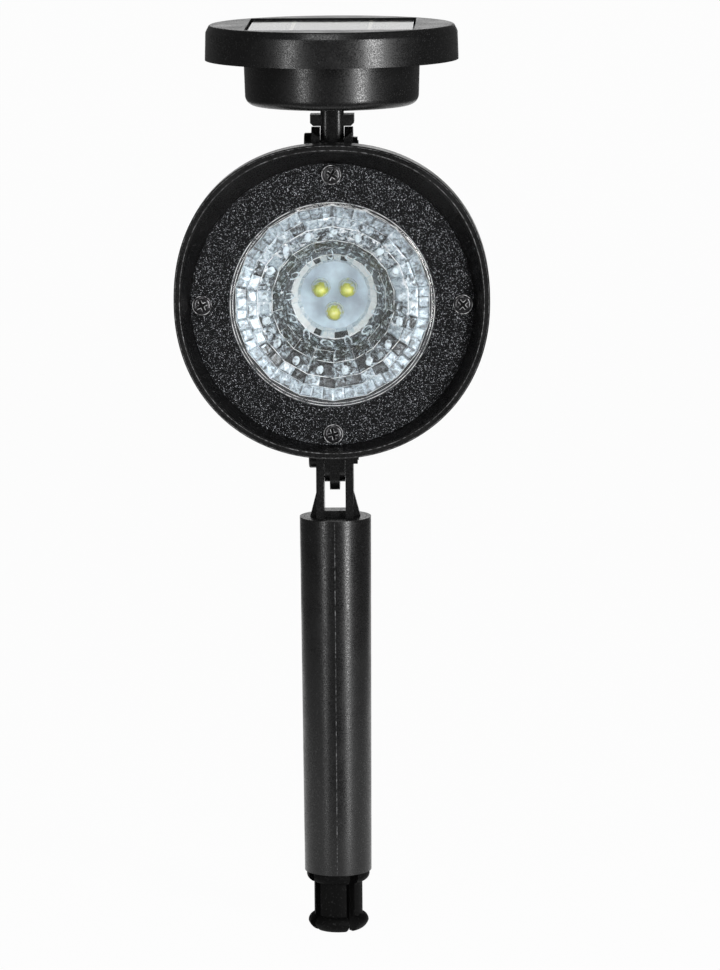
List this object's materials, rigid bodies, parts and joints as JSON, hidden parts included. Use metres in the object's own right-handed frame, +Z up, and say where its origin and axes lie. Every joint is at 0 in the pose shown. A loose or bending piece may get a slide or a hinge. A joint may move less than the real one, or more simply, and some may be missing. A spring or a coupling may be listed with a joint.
{
  "type": "light projector stake",
  "caption": "Solar spot lamp on a short pole: a round rimmed lamp head and a round solar head, each tilting on a fork joint, above a pole with a slotted snap plug.",
  "frame": {"origin": "centre of the pole's lower end, where the snap plug seats in a ground spike or stand", "axes": "+Z up along the pole, -Y the way the lamp faces, +X to the right as seen from the front"},
  "size_m": [0.093, 0.075, 0.2744],
  "materials": {
    "black_plastic": "fine moulded grain, satin",
    "grained_plastic": "coarse sparkling spark-eroded grain",
    "black_bolt": "smooth moulded",
    "black_screw": "black zinc",
    "clear_lens": "clear polished",
    "seal_rubber": "matt",
    "bright_reflector": "faceted bright metallised",
    "board": "white solder mask",
    "led_resin": "clear domes over yellow phosphor",
    "components": "moulded component",
    "solar_cell": "dark blue cell with fine grid lines",
    "window_resin": "clear poured resin",
    "battery_sleeve": "shrink sleeve",
    "contact_metal": "nickel plated",
    "button_rubber": "soft rubber"
  },
  "bodies": {
    "pole": {"pole_tube": "black_plastic", "pole_yoke": "black_plastic", "snap_plug": "black_plastic", "lamp_pivot_bolt": "black_bolt", "lamp_pivot_nut": "black_bolt"},
    "lamp_head": {"lamp_housing": "black_plastic", "bezel_plate": "grained_plastic", "bezel_screws": "black_screw", "lens": "clear_lens", "lens_seal": "seal_rubber", "reflector": "bright_reflector", "led_board": "board", "leds": "led_resin", "resistors": "components", "led_board_screws": "black_screw", "solar_pivot_bolt": "black_bolt", "solar_pivot_nut": "black_bolt"},
    "solar_head": {"panel_cover": "black_plastic", "solar_cell": "solar_cell", "cell_window": "window_resin", "panel_seal": "seal_rubber", "battery_can": "black_plastic", "cover_screws": "black_screw", "battery_cells": "battery_sleeve", "battery_contacts": "contact_metal", "charge_board": "board", "charge_parts": "components", "board_screws": "black_screw", "switch_body": "components"},
    "button": {"power_button": "button_rubber"}
  },
  "joints": [
    {"name": "lamp_tilt", "type": "hinge", "parent": "pole", "child": "lamp_head", "pos_m": [0, 0, 0.12675], "axis": [-1, 0, 0], "range_deg": [-50, 90]},
    {"name": "solar_tilt", "type": "hinge", "parent": "lamp_head", "child": "solar_head", "pos_m": [0, 0, 0.22022], "axis": [-1, 0, 0], "range_deg": [-20, 60]},
    {"name": "button_press", "type": "slide", "parent": "solar_head", "child": "button", "axis": [0, 0, 1], "range_m": [0, 0.0012], "stiffness_N_per_m": 400, "springref_m": -0.001}
  ]
}
